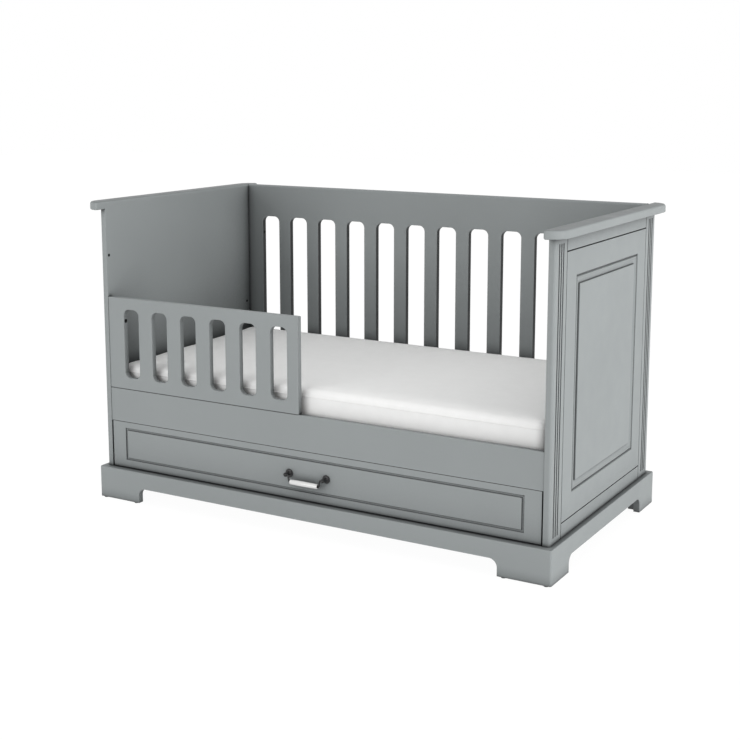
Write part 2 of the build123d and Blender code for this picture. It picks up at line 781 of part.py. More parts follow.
for place, side in (("left", -1), ("right", 1)):
    with BuildPart() as drawer_side:
        with BuildSketch(across_x(side, box_inner)):
            with Locations((side * (drawer_front_back + box_back) / 2, box_side_middle)):
                Rectangle(box_back - drawer_front_back, drawer_box_height)
        extrude(amount=drawer_board)
        top_edges = drawer_side.edges().group_by(Axis.Z)[-1].filter_by(Axis.Y)
        fillet(top_edges, edge_round)
        with BuildSketch(across_x(side, box_inner)):
            with Locations((side * (drawer_front_back + box_back) / 2, (bottom_low + bottom_high) / 2)):
                Rectangle(box_back - drawer_front_back, drawer_bottom_thickness)
        extrude(amount=drawer_groove_depth, mode=Mode.SUBTRACT)
        with BuildSketch(across_y(drawer_front_back)):
            with Locations(*box_corner_points):
                Circle(dowel_radius)
        extrude(amount=-(dowel_length - drawer_dowel_bite), mode=Mode.SUBTRACT)
        with Locations(*back_screw_planes(side)):
            screw(back_screw_length, mode=Mode.SUBTRACT)
        with Locations(*drawer_screw_planes(side)):
            screw(runner_screw_length, mode=Mode.SUBTRACT)
    save(drawer_side.part, f"drawer_{place}_side")

with BuildPart() as drawer_back:
    with BuildSketch(across_y(box_back)):
        board_between(-box_inner, box_inner, box_bottom, box_top)
    extrude(amount=drawer_board)
    fillet(drawer_back.edges().group_by(Axis.Z)[-1].filter_by(Axis.X), edge_round)
    with BuildSketch(across_y(box_back - drawer_board)):
        board_between(-box_inner, box_inner, bottom_low, bottom_high)
    extrude(amount=-drawer_groove_depth, mode=Mode.SUBTRACT)
    for side in ends.values():
        with Locations(*back_screw_planes(side)):
            screw(back_screw_length, mode=Mode.SUBTRACT)
save(drawer_back.part, "drawer_back")

bottom_front = drawer_front_back - drawer_groove_depth + drawer_groove_play
bottom_back = box_back - drawer_board + drawer_groove_depth - drawer_groove_play
with BuildPart() as drawer_bottom:
    with BuildSketch(Plane.XY.offset(bottom_low)):
        with Locations((0, (bottom_front + bottom_back) / 2)):
            Rectangle(2 * (box_inner + drawer_groove_depth - drawer_groove_play), bottom_back - bottom_front)
        with Locations(*[(side * box_inner, bottom_front) for side in ends.values()]):
            Rectangle(2 * drawer_groove_depth, 2 * drawer_groove_depth, mode=Mode.SUBTRACT)
        with Locations(*[(side * box_inner, bottom_back) for side in ends.values()]):
            Rectangle(2 * drawer_groove_depth, 2 * drawer_groove_depth, mode=Mode.SUBTRACT)
    extrude(amount=drawer_bottom_thickness)
save(drawer_bottom.part, "drawer_bottom")

with BuildPart() as drawer_support:
    with BuildSketch(Plane.XY.offset(bottom_low)):
        with Locations((0, (drawer_front_back + box_back - drawer_board) / 2)):
            Rectangle(drawer_support_width, box_back - drawer_board - drawer_front_back)
    extrude(amount=-drawer_bottom_lift)
save(drawer_support.part, "drawer_support")


# Runners: a channel on each end of the bed, a flanged rail under each side of the drawer, four rollers

runner_middle = (runner_front + runner_back) / 2
roller_half = roller_width / 2

for place, side in (("left", -1), ("right", 1)):
    with BuildPart() as channel:
        with BuildSketch(across_x(side, cabinet_web)):
            with Locations((side * runner_middle, channel_middle)):
                Rectangle(runner_length, channel_top - channel_floor + runner_sheet)
            with Locations(*mirrored([(front_roller_y, front_roller_height)], side)):
                Circle(roller_pin_radius, mode=Mode.SUBTRACT)
        extrude(amount=runner_sheet)
        flange_back = runner_middle + roller_notch / 2
        with BuildSketch(across_x(side, half_length - runner_flange)):
            with Locations((side * runner_middle, channel_floor - runner_sheet / 2)):
                Rectangle(runner_length, runner_sheet)
            with Locations((side * flange_back, channel_top - runner_sheet / 2)):
                Rectangle(runner_length - roller_notch, runner_sheet)
        extrude(amount=runner_flange)
        with Locations(*cabinet_screw_planes(side)):
            screw(runner_screw_length, mode=Mode.SUBTRACT)
    save(channel.part, f"{place}_cabinet_runner")

    rail_low = box_bottom - runner_sheet
    rail_high = rail_flange_height + runner_sheet
    with BuildPart() as rail:
        with BuildSketch(across_x(side, box_outer)):
            with Locations((side * runner_middle, (rail_low + rail_high) / 2)):
                Rectangle(runner_length, rail_high - rail_low)
            with Locations(*mirrored([(rear_roller_y, rear_roller_height)], side)):
                Circle(roller_pin_radius, mode=Mode.SUBTRACT)
        extrude(amount=runner_sheet)
        with BuildSketch(across_x(side, box_outer - runner_shelf)):
            with Locations((side * runner_middle, box_bottom - runner_sheet / 2)):
                Rectangle(runner_length, runner_sheet)
        extrude(amount=runner_shelf + runner_sheet)
        with BuildSketch(across_x(side, box_outer)):
            with Locations((side * runner_middle, rail_high - runner_sheet / 2)):
                Rectangle(runner_length, runner_sheet)
        extrude(amount=runner_flange)
        with Locations(*drawer_screw_planes(side)):
            screw(runner_screw_length, mode=Mode.SUBTRACT)
    save(rail.part, f"{place}_drawer_runner")

    for name, y, z in (("front", front_roller_y, front_roller_height),
                       ("rear", rear_roller_y, rear_roller_height)):
        with BuildPart() as roller:
            with BuildSketch(across_x(side, roller_middle_x - roller_half)):
                with Locations((side * y, z)):
                    Circle(roller_radius)
                    Circle(roller_pin_radius + roller_pin_play, mode=Mode.SUBTRACT)
            extrude(amount=roller_width)
            rims = roller.edges().filter_by(GeomType.CIRCLE).group_by(SortBy.RADIUS)[-1]
            fillet(rims, roller_edge_round)
        save(roller.part, f"{place}_{name}_roller")


def roller_pin(side, y, z, sheet_x, inward):
    """Riveted pin that starts at the outer face of a sheet and carries a roller inward of it."""
    reach = abs(sheet_x - roller_middle_x)
    head_start = reach + roller_half + roller_side_gap
    for start, length, radius in ((0, head_start, roller_pin_radius),
                                  (runner_sheet, reach - roller_half - roller_side_gap - runner_sheet,
                                   roller_pin_head_radius),
                                  (head_start, roller_pin_head, roller_pin_head_radius)):
        with BuildSketch(across_x(side, sheet_x + inward * start)) as outline:
            with Locations((side * y, z)):
                Circle(radius)
        extrude(outline.sketch, amount=inward * length)


with BuildPart() as cabinet_pins:
    for side in ends.values():
        roller_pin(side, front_roller_y, front_roller_height, half_length, -1)
save(cabinet_pins.part, "cabinet_roller_pins")

with BuildPart() as drawer_pins:
    for side in ends.values():
        roller_pin(side, rear_roller_y, rear_roller_height, box_outer, 1)
save(drawer_pins.part, "drawer_roller_pins")


# Drop handle on the drawer front

with BuildPart() as posts:
    for x, z in handle_points:
        with BuildSketch(Plane(origin=(x, -board_outer, z), x_dir=(1, 0, 0), z_dir=(0, 0, 1))) as post_section:
            with BuildLine():
                foot = Polyline((0, 0), (rosette_radius, 0), (rosette_radius, -rosette_rim / 2))
                rim = TangentArc(foot @ 1, (rosette_radius - rosette_rim / 2, -rosette_rim), tangent=(0, -1))
                land = Line(rim @ 1, (rosette_radius - rosette_rim, -rosette_rim))
                dome = ThreePointArc(
                    land @ 1, (rosette_shoulder + rosette_dome_rise, rosette_dome_rise - rosette_thickness),
                    (rosette_shoulder, -rosette_thickness))
                waist = ThreePointArc(
                    dome @ 1, (post_waist_radius, -post_reach / 2), (post_radius, -post_reach))
                Polyline(waist @ 1, (0, -post_reach), (0, 0))
            make_face()
        revolve(axis=Axis((x, -board_outer, z), (0, 1, 0)))
        with Locations((x, pivot_y, z)):
            Sphere(post_ball_radius, rotation=(0, 0, -90))
    with BuildSketch(across_y(-board_outer)):
        with Locations(*handle_points):
            Circle(handle_screw_radius)
    extrude(amount=handle_screw_bite, mode=Mode.SUBTRACT)
    pin_outer = handle_centres / 2 - post_ball_radius + bail_pin_bite
    pin_inner = handle_centres / 2 - post_ball_radius - bail_shoulder_gap
    for side in ends.values():
        for radius, reach in ((post_ball_radius, handle_centres / 2 - post_ball_flat),
                              (bail_wire_radius + bail_play, pin_outer + bail_end_play)):
            with BuildSketch(across_x(side, pin_inner)):
                with Locations((side * pivot_y, handle_height)):
                    Circle(radius)
            extrude(amount=reach - pin_inner, mode=Mode.SUBTRACT)
save(posts.part, "handle_posts")

grip_height = handle_height - bail_drop
bail_corner = grip_length / 2 + bail_bend_radius
with BuildPart() as bail:
    with BuildLine(across_y(pivot_y)) as wire_path:
        FilletPolyline((pin_outer, handle_height), (pin_inner, handle_height), (bail_corner, grip_height),
                       (-bail_corner, grip_height), (-pin_inner, handle_height), (-pin_outer, handle_height),
                       radius=bail_bend_radius)
    with BuildSketch(Plane(origin=(pin_outer, pivot_y, handle_height), z_dir=(-1, 0, 0))):
        Circle(bail_wire_radius)
    sweep(path=wire_path.line)
save(bail.part, "handle_bail")

grip_half = grip_length / 2 - ferrule_length
with BuildPart() as grip:
    with BuildSketch(Plane(origin=(0, pivot_y, grip_height), x_dir=(1, 0, 0), z_dir=(0, -1, 0))) as section:
        with BuildLine():
            belly = ThreePointArc(
                (-grip_half, grip_end_radius), (0, grip_middle_radius), (grip_half, grip_end_radius))
            Polyline(belly @ 1, (grip_half, bail_wire_radius), (-grip_half, bail_wire_radius), belly @ 0)
        make_face()
        fillet(section.vertices().sort_by(Axis.Y)[-2:], grip_edge_round)
    revolve(axis=Axis((0, pivot_y, grip_height), (1, 0, 0)))
save(grip.part, "handle_grip")

with BuildPart() as ferrules:
    for side in ends.values():
        with BuildSketch(across_x(side, grip_half)):
            with Locations((side * pivot_y, grip_height)):
                Circle(ferrule_radius)
                Circle(bail_wire_radius, mode=Mode.SUBTRACT)
        extrude(amount=ferrule_length)
save(ferrules.part, "handle_ferrules")

with BuildPart() as handle_screws:
    with BuildSketch(across_y(drawer_front_back)):
        with Locations(*handle_points):
            Circle(handle_screw_radius)
    extrude(amount=board + handle_screw_bite)
    with BuildSketch(across_y(drawer_front_back)):
        with Locations(*handle_points):
            Circle(handle_screw_head_radius)
    extrude(amount=-handle_screw_head)
    fillet(handle_screws.edges().filter_by(GeomType.CIRCLE).sort_by(Axis.Y)[-2:], handle_screw_head / 2)
save(handle_screws.part, "handle_screws")


# Fasteners

with BuildPart() as inserts:
    for side in ends.values():
        with BuildSketch(across_x(side, half_length)):
            with Locations(*mirrored(insert_points, side)):
                Circle(insert_radius)
                Circle(insert_bore, mode=Mode.SUBTRACT)
        extrude(amount=insert_length)
save(inserts.part, "threaded_inserts")


def bolts(side, points, head_face):
    """Socket-head bolts whose heads seat at head_face and whose tips bite into the inserts."""
    with BuildSketch(across_x(side, head_face)) as outline:
        with Locations(*mirrored(points, side)):
            Circle(bolt_radius)
    extrude(outline.sketch, amount=half_length + bolt_bite - head_face)
    with BuildSketch(across_x(side, head_face)) as outline:
        with Locations(*mirrored(points, side)):
            Circle(bolt_head_radius)
    extrude(outline.sketch, amount=-bolt_head)
    with BuildSketch(across_x(side, head_face - bolt_head)) as outline:
        with Locations(*mirrored(points, side)):
            RegularPolygon(bolt_socket_radius, 6)
    extrude(outline.sketch, amount=bolt_socket_depth, mode=Mode.SUBTRACT)


with BuildPart() as base_bolts:
    for side in ends.values():
        bolts(side, base_bolt_points, half_length - base_end_width + counterbore_depth)
save(base_bolts.part, "base_bolts")

with BuildPart() as barrier_bolts:
    for side in ends.values():
        bolts(side, back_bolt_points, first_slot_outer + counterbore_depth)
    bolts(-1, guard_bolt_points, counterbore_depth - guard_slot_outer)
save(barrier_bolts.part, "barrier_bolts")

with BuildPart() as dowels:
    with BuildSketch(Plane.XY.offset(panel_top - dowel_length / 2)):
        with Locations(*guard_dowel_points):
            Circle(dowel_radius)
    extrude(amount=dowel_length)
    with BuildSketch(Plane.XY.offset(end_top - dowel_length / 2)):
        with Locations(*[(side * x, y) for side in ends.values() for x, y in cap_dowel_points]):
            Circle(dowel_radius)
    extrude(amount=dowel_length)
save(dowels.part, "dowels")

with BuildPart() as cams:
    for heights, y, inward in ((panel_cam_heights, -half_depth, 1), (lower_cam_heights, half_depth, -1)):
        places = [(side * (half_length - cam_distance), z) for side in ends.values() for z in heights]
        with BuildSketch(across_y(y)):
            with Locations(*places):
                Circle(cam_radius)
        extrude(amount=inward * cam_depth)
        with BuildSketch(across_y(y)):
            with Locations(*places):
                Rectangle(cam_radius, cam_slot_width)
                Rectangle(cam_slot_width, cam_radius)
        extrude(amount=inward * cam_slot_depth, mode=Mode.SUBTRACT)
    for side in ends.values():
        with BuildSketch(across_x(side, half_length - cam_distance + cam_radius)):
            with Locations(*mirrored(cam_points, side)):
                Circle(cam_pin_radius)
        extrude(amount=cam_distance - cam_radius + cam_pin_bite)
save(cams.part, "cam_fittings")

with BuildPart() as frame_screws:
    with Locations(*[(x, y, slat_top) for x, y in slat_screw_points]):
        screw(slat_screw_length)
    with Locations(*[Plane(origin=(x, plate_thickness - half_depth, z), z_dir=(0, 1, 0))
                     for x, z in plate_screw_points]):
        flat_screw(plate_screw_length)
    for side in ends.values():
        with Locations(*cabinet_screw_planes(side)):
            screw(runner_screw_length)
save(frame_screws.part, "frame_screws")

with BuildPart() as drawer_fasteners:
    for side in ends.values():
        with Locations(*back_screw_planes(side)):
            screw(back_screw_length)
        with Locations(*drawer_screw_planes(side)):
            screw(runner_screw_length)
    with BuildSketch(across_y(drawer_front_back - drawer_dowel_bite)):
        with Locations(*box_corner_points):
            Circle(dowel_radius)
    extrude(amount=-dowel_length)
save(drawer_fasteners.part, "drawer_fasteners")
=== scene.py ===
import json
import math
import bmesh
import bpy
import numpy as np
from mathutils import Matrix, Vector
from mathutils.bvhtree import BVHTree


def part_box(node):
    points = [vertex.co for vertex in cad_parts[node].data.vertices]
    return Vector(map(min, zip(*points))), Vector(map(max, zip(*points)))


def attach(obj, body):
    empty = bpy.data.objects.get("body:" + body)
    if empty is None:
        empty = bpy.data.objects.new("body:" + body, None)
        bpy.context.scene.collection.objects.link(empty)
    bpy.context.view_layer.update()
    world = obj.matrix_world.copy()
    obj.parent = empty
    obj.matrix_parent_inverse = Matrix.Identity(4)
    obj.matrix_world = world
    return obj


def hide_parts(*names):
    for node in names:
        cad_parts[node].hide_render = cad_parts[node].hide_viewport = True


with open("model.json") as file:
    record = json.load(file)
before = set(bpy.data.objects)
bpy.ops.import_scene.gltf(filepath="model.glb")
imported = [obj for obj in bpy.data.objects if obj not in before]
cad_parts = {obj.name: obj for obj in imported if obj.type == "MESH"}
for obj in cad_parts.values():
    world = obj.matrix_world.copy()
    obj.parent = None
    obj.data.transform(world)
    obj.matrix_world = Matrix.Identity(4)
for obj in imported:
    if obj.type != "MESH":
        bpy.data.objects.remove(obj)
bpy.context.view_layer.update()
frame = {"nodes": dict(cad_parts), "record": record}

unstretched = (1, 1, 1)
print("toddler bed: loaded", len(frame["nodes"]), "pieces")


# small helpers for shader trees

def newTree(name):
    material = bpy.data.materials.new(name)
    material.use_nodes = True
    tree = material.node_tree
    tree.nodes.clear()
    shader = tree.nodes.new("ShaderNodeBsdfPrincipled")
    output = tree.nodes.new("ShaderNodeOutputMaterial")
    tree.links.new(shader.outputs["BSDF"], output.inputs["Surface"])
    return material, tree, shader


def addNode(tree, kind, inputs=None, **settings):
    node = tree.nodes.new(kind)
    for key, value in settings.items():
        setattr(node, key, value)
    for key, value in (inputs or {}).items():
        if isinstance(value, bpy.types.NodeSocket):
            tree.links.new(value, node.inputs[key])
        else:
            node.inputs[key].default_value = value
    return node


def linear(red, green, blue):
    def decode(value):
        value /= 255
        return value / 12.92 if value <= 0.04045 else ((value + 0.055) / 1.055) ** 2.4
    return (decode(red), decode(green), decode(blue), 1.0)


def shaded(colour, factor):
    return tuple(min(1.0, channel * factor) for channel in colour[:3]) + (1.0,)


def stretched(tree, stretch):
    place = addNode(tree, "ShaderNodeTexCoord")
    mapping = addNode(tree, "ShaderNodeMapping", {"Vector": place.outputs["Object"], "Scale": stretch})
    return mapping.outputs["Vector"]


def noise(tree, vector, scale, detail=2.0, roughness=0.5):
    texture = addNode(tree, "ShaderNodeTexNoise",
                      {"Vector": vector, "Scale": scale, "Detail": detail, "Roughness": roughness})
    return texture.outputs["Fac"]


def remap(tree, value, low, high, toLow, toHigh):
    node = addNode(tree, "ShaderNodeMapRange", {"Value": value, "From Min": low, "From Max": high,
                                                "To Min": toLow, "To Max": toHigh})
    return node.outputs["Result"]


def mixColours(tree, factor, first, second):
    node = addNode(tree, "ShaderNodeMix", data_type="RGBA")
    for index, value in ((0, factor), (6, first), (7, second)):
        if isinstance(value, bpy.types.NodeSocket):
            tree.links.new(value, node.inputs[index])
        else:
            node.inputs[index].default_value = value
    return node.outputs[2]


def bump(tree, height, distance, strength=1.0, under=None):
    inputs = {"Height": height, "Distance": distance, "Strength": strength}
    if under is not None:
        inputs["Normal"] = under
    return addNode(tree, "ShaderNodeBump", inputs).outputs["Normal"]


# finishes of the bed's own pieces

lacquerLook = {
    "colour": linear(145, 149.5, 150),
    "roughness": 0.5,
    "roughSpread": 0.05,
    "roughScale": 18.0,
    "gloss": 0.15,
    "depth": (0.006, 0.0065, 0.007, 1.0),
    "peelScale": 520.0,            # orange peel of a sprayed lacquer, about 2 mm
    "peelDepth": 0.00005,
    "waveScale": 9.0,              # slow waves in the surface
    "waveDepth": 0.0004,
    "cloudScale": 3.0,
    "cloudTones": (0.975, 1.02),
    "speckScale": 1400.0,
    "speckTone": 0.80,
    "speckAmount": 0.10,
    # shade that gathers in joints, along boards that meet, and deep inside the bed:
    # how far it reaches, the openness where it starts and ends, and how dark it gets
    "joint": (0.012, 0.40, 0.92, 0.10),
    "edge": (0.050, 0.35, 0.88, 0.50),
    "corner": (0.300, 0.38, 0.86, 0.45),
    "barrierCorner": (0.400, 0.45, 1.15, 0.56),
    "plinthCorner": (0.300, 0.10, 0.50, 0.85),
    "slotSideShade": ("X", 0.12),      # painted shade: the chosen tone that darkens the barrier's slot sides
    "plinthTopShade": ("Z", 0.72),          # painted shade: the chosen tone that darkens the plinth's top
    "capTopShade": ("Z", 0.66),         # painted shade: the chosen tone that darkens the caps' tops
    "faceShadeTurn": (0.45, 0.95),      # how squarely a face looks along the axis, where such painted shade starts and is full
}


def gatheredShade(tree, reach, closedFrom, openFrom, darkest):
    near = addNode(tree, "ShaderNodeAmbientOcclusion", {"Distance": reach}, samples=8)
    return remap(tree, near.outputs["AO"], closedFrom, openFrom, darkest, 1.0)


def multiplied(tree, first, second):
    return addNode(tree, "ShaderNodeMath", {0: first, 1: second}, operation="MULTIPLY").outputs[0]


def paintedFaceShade(tree, axis, darkest):
    # painted shade: darkens the faces that look along one axis of the piece, standing in for how light falls on them
    place = addNode(tree, "ShaderNodeTexCoord")
    parts = addNode(tree, "ShaderNodeSeparateXYZ", {"Vector": place.outputs["Normal"]})
    amount = addNode(tree, "ShaderNodeMath", {0: parts.outputs[axis]}, operation="ABSOLUTE")
    return remap(tree, amount.outputs[0], *lacquerLook["faceShadeTurn"], 1.0, darkest)


def jointShade(tree):
    return multiplied(tree, gatheredShade(tree, *lacquerLook["joint"]), gatheredShade(tree, *lacquerLook["edge"]))


def makeLacquer(name, corner, shadeByFacing=None):
    look = lacquerLook
    material, tree, shader = newTree(name)
    plain = stretched(tree, unstretched)
    cloud = noise(tree, plain, look["cloudScale"], 3.0)
    speck = noise(tree, plain, look["speckScale"], 2.0)
    darkTone, paleTone = look["cloudTones"]
    base = mixColours(tree, remap(tree, cloud, 0.3, 0.7, 0.0, 1.0),
                      shaded(look["colour"], darkTone), shaded(look["colour"], paleTone))
    base = mixColours(tree, remap(tree, speck, 0.62, 0.75, 0.0, look["speckAmount"]), base,
                      shaded(look["colour"], look["speckTone"]))
    shade = multiplied(tree, jointShade(tree), gatheredShade(tree, *look[corner]))
    # painted shade on the faces that look along one axis
    if shadeByFacing:
        shade = multiplied(tree, shade, paintedFaceShade(tree, *shadeByFacing))
    base = mixColours(tree, shade, look["depth"], base)
    spread = remap(tree, noise(tree, plain, look["roughScale"], 4.0), 0.3, 0.7,
                   -look["roughSpread"], look["roughSpread"])
    rough = addNode(tree, "ShaderNodeMath", {0: spread, 1: look["roughness"]}, operation="ADD")
    peel = bump(tree, noise(tree, plain, look["peelScale"], 1.0), look["peelDepth"], 0.5)
    wave = bump(tree, noise(tree, plain, look["waveScale"], 1.0), look["waveDepth"], 0.25, peel)
    tree.links.new(base, shader.inputs["Base Color"])
    tree.links.new(rough.outputs[0], shader.inputs["Roughness"])
    tree.links.new(wave, shader.inputs["Normal"])
    shader.inputs["Specular IOR Level"].default_value = look["gloss"]
    return material


pineLook = {
    "pale": linear(222, 190, 142),
    "dark": linear(184, 140, 92),
    "ringScale": 3.5,
    "ringWander": 9.0,
    "patchScale": 3.0,
    "poreScale": 160.0,
    "poreDepth": 0.0003,
    "roughness": (0.52, 0.68),
}


def makePine(name, grainStretch, tone=1.0):
    material, tree, shader = newTree(name)
    along = stretched(tree, grainStretch)
    patches = noise(tree, along, pineLook["patchScale"], 3.0)
    waves = {"Vector": along, "Scale": pineLook["ringScale"], "Distortion": pineLook["ringWander"],
             "Detail": 3.0, "Detail Scale": 1.4}
    rings = addNode(tree, "ShaderNodeTexWave", waves, wave_type="RINGS", rings_direction="X",
                    wave_profile="SAW").outputs["Fac"]
    pores = noise(tree, along, pineLook["poreScale"], 4.0)
    pale, dark = shaded(pineLook["pale"], tone), shaded(pineLook["dark"], tone)
    grain = mixColours(tree, rings, pale, dark)
    grain = mixColours(tree, remap(tree, patches, 0.25, 0.75, 0.0, 0.6), grain, pale)
    grain = mixColours(tree, remap(tree, pores, 0.5, 0.8, 0.0, 0.35), grain, shaded(pineLook["dark"], 0.8 * tone))
    tree.links.new(grain, shader.inputs["Base Color"])
    tree.links.new(remap(tree, rings, 0.0, 1.0, *pineLook["roughness"]), shader.inputs["Roughness"])
    tree.links.new(bump(tree, pores, pineLook["poreDepth"], 0.35), shader.inputs["Normal"])
    return material


metalLook = {
    "black": {"colour": linear(17, 17, 18), "metallic": 0.0, "roughness": 0.42, "grain": 900.0, "depth": 0.00012},
    "zinc": {"colour": linear(190, 193, 198), "metallic": 1.0, "roughness": 0.34, "grain": 1500.0, "depth": 0.00004},
    "browned": {"colour": linear(22, 21, 21), "metallic": 1.0, "roughness": 0.5, "grain": 1200.0, "depth": 0.00005},
    "whiteSteel": {"colour": linear(222, 222, 219), "metallic": 0.0, "roughness": 0.36, "grain": 1100.0,
                   "depth": 0.00008},
}
metalWear = {"cloudScale": 60.0, "tones": (0.85, 1.12), "roughScale": 180.0, "roughSpread": (-0.08, 0.1)}


def makeMetal(name, look):
    material, tree, shader = newTree(name)
    plain = stretched(tree, unstretched)
    cloud = noise(tree, plain, metalWear["cloudScale"], 4.0)
    dull, bright = metalWear["tones"]
    finer, coarser = metalWear["roughSpread"]
    base = mixColours(tree, remap(tree, cloud, 0.35, 0.7, 0.0, 1.0), shaded(look["colour"], dull),
                      shaded(look["colour"], bright))
    tree.links.new(base, shader.inputs["Base Color"])
    tree.links.new(remap(tree, noise(tree, plain, metalWear["roughScale"], 3.0), 0.3, 0.7,
                         look["roughness"] + finer, look["roughness"] + coarser), shader.inputs["Roughness"])
    tree.links.new(bump(tree, noise(tree, plain, look["grain"], 2.0), look["depth"], 0.5), shader.inputs["Normal"])
    shader.inputs["Metallic"].default_value = look["metallic"]
    return material


plasticLook = {
    "nylon": linear(226, 225, 218),
    "glide": linear(42, 42, 43),
    "cloudScale": 140.0,
    "tones": (0.93, 1.04),
    "roughScale": 90.0,
    "roughSpread": (-0.06, 0.08),
    "grainScale": 1600.0,
    "grainDepth": 0.00005,
}


def makePlastic(name, colour, roughness):
    material, tree, shader = newTree(name)
    plain = stretched(tree, unstretched)
    dull, bright = plasticLook["tones"]
    finer, coarser = plasticLook["roughSpread"]
    cloud = noise(tree, plain, plasticLook["cloudScale"], 3.0)
    base = mixColours(tree, remap(tree, cloud, 0.3, 0.7, 0.0, 1.0), shaded(colour, dull), shaded(colour, bright))
    rough = remap(tree, noise(tree, plain, plasticLook["roughScale"], 3.0), 0.3, 0.7,
                  roughness + finer, roughness + coarser)
    grain = noise(tree, plain, plasticLook["grainScale"], 1.0)
    tree.links.new(base, shader.inputs["Base Color"])
    tree.links.new(rough, shader.inputs["Roughness"])
    tree.links.new(bump(tree, grain, plasticLook["grainDepth"], 0.4), shader.inputs["Normal"])
    return material


porcelainLook = {
    "glaze": linear(220, 220, 219),
    "crazing": linear(205, 203, 200),
    "cellScale": 260.0,       # hairlines about 4 mm apart
    "hairline": 0.025,
    "hairlineAmount": 0.16,
    "patchScale": 55.0,
    "roughness": (0.07, 0.16),
    "waveScale": 70.0,
    "waveDepth": 0.00025,
    "coat": 0.6,
    "coatRoughness": 0.04,
}


def makePorcelain():
    look = porcelainLook
    material, tree, shader = newTree("white_glaze")
    plain = stretched(tree, unstretched)
    cells = addNode(tree, "ShaderNodeTexVoronoi", {"Vector": plain, "Scale": look["cellScale"]},
                    feature="DISTANCE_TO_EDGE")
    craze = remap(tree, cells.outputs["Distance"], 0.0, look["hairline"], look["hairlineAmount"], 0.0)
    patches = remap(tree, noise(tree, plain, look["patchScale"], 3.0), 0.4, 0.75, 0.0, look["hairlineAmount"])
    base = mixColours(tree, craze, look["glaze"], look["crazing"])
    base = mixColours(tree, patches, base, look["crazing"])
    tree.links.new(base, shader.inputs["Base Color"])
    tree.links.new(remap(tree, noise(tree, plain, 120.0, 2.0), 0.3, 0.7, *look["roughness"]),
                   shader.inputs["Roughness"])
    tree.links.new(bump(tree, noise(tree, plain, look["waveScale"], 2.0), look["waveDepth"], 0.3),
                   shader.inputs["Normal"])
    shader.inputs["Coat Weight"].default_value = look["coat"]
    shader.inputs["Coat Roughness"].default_value = look["coatRoughness"]
    return material


boardLook = {
    "foil": linear(148, 153, 152),
    "sheet": linear(156, 160, 158),
    # grey primer of the hidden inner boards, also made darker as painted shade for the corner blocks behind the
    # plinth's feet
    "primerAndShade": linear(92, 95, 96),
    "fibreScale": 220.0,
    "fibreDepth": 0.0001,
    "tones": (0.93, 1.05),
    "roughness": (0.46, 0.6),
}


def makeFoil(name, colour, grainStretch):
    material, tree, shader = newTree(name)
    along = stretched(tree, grainStretch)
    fibre = noise(tree, along, boardLook["fibreScale"], 5.0, 0.6)
    dull, bright = boardLook["tones"]
    base = mixColours(tree, remap(tree, fibre, 0.35, 0.65, 0.0, 1.0), shaded(colour, dull), shaded(colour, bright))
    base = mixColours(tree, jointShade(tree), lacquerLook["depth"], base)
    tree.links.new(base, shader.inputs["Base Color"])
    tree.links.new(remap(tree, fibre, 0.3, 0.7, *boardLook["roughness"]), shader.inputs["Roughness"])
    tree.links.new(bump(tree, fibre, boardLook["fibreDepth"], 0.4), shader.inputs["Normal"])
    return material


# mattress cover: a fine jersey over foam

coverLook = {
    "colour": linear(248, 248, 247),
    "shade": linear(234, 234, 233),
    "hidden": linear(120, 121, 122),
    "contact": (0.040, 0.20, 0.65, 0.80),     # shade that gathers against the boards
    "rowScale": 300.0,        # rows of knit
    "loopScale": 420.0,
    "knitDepth": 0.0003,
    "slubScale": 35.0,
    "creaseScale": 5.0,
    "creaseDepth": 0.0048,
    "roughness": 0.85,
    "sheen": 0.25,
    "sheenRoughness": 0.4,
}


def makeJersey():
    look = coverLook
    material, tree, shader = newTree("white_jersey")
    plain = stretched(tree, unstretched)

    def threads(scale, wander, direction):
        waves = {"Vector": plain, "Scale": scale, "Distortion": wander, "Detail": 1.0, "Detail Scale": 4.0}
        return addNode(tree, "ShaderNodeTexWave", waves, wave_type="BANDS", bands_direction=direction).outputs["Fac"]

    knit = multiplied(tree, threads(look["rowScale"], 0.5, "X"), threads(look["loopScale"], 0.6, "DIAGONAL"))
    slub = noise(tree, plain, look["slubScale"], 4.0)
    base = mixColours(tree, remap(tree, knit, 0.0, 1.0, 0.55, 0.0), look["colour"], look["shade"])
    base = mixColours(tree, remap(tree, slub, 0.35, 0.75, 0.0, 0.3), base, look["shade"])
    base = mixColours(tree, gatheredShade(tree, *look["contact"]), look["hidden"], base)
    creases = noise(tree, stretched(tree, (1.0, 2.4, 1.0)), look["creaseScale"], 3.0, 0.45)
    fold = bump(tree, creases, look["creaseDepth"], 0.35)
    fine = bump(tree, knit, look["knitDepth"], 0.5, fold)
    tree.links.new(base, shader.inputs["Base Color"])
    tree.links.new(fine, shader.inputs["Normal"])
    shader.inputs["Roughness"].default_value = look["roughness"]
    shader.inputs["Sheen Weight"].default_value = look["sheen"]
    shader.inputs["Sheen Roughness"].default_value = look["sheenRoughness"]
    return material


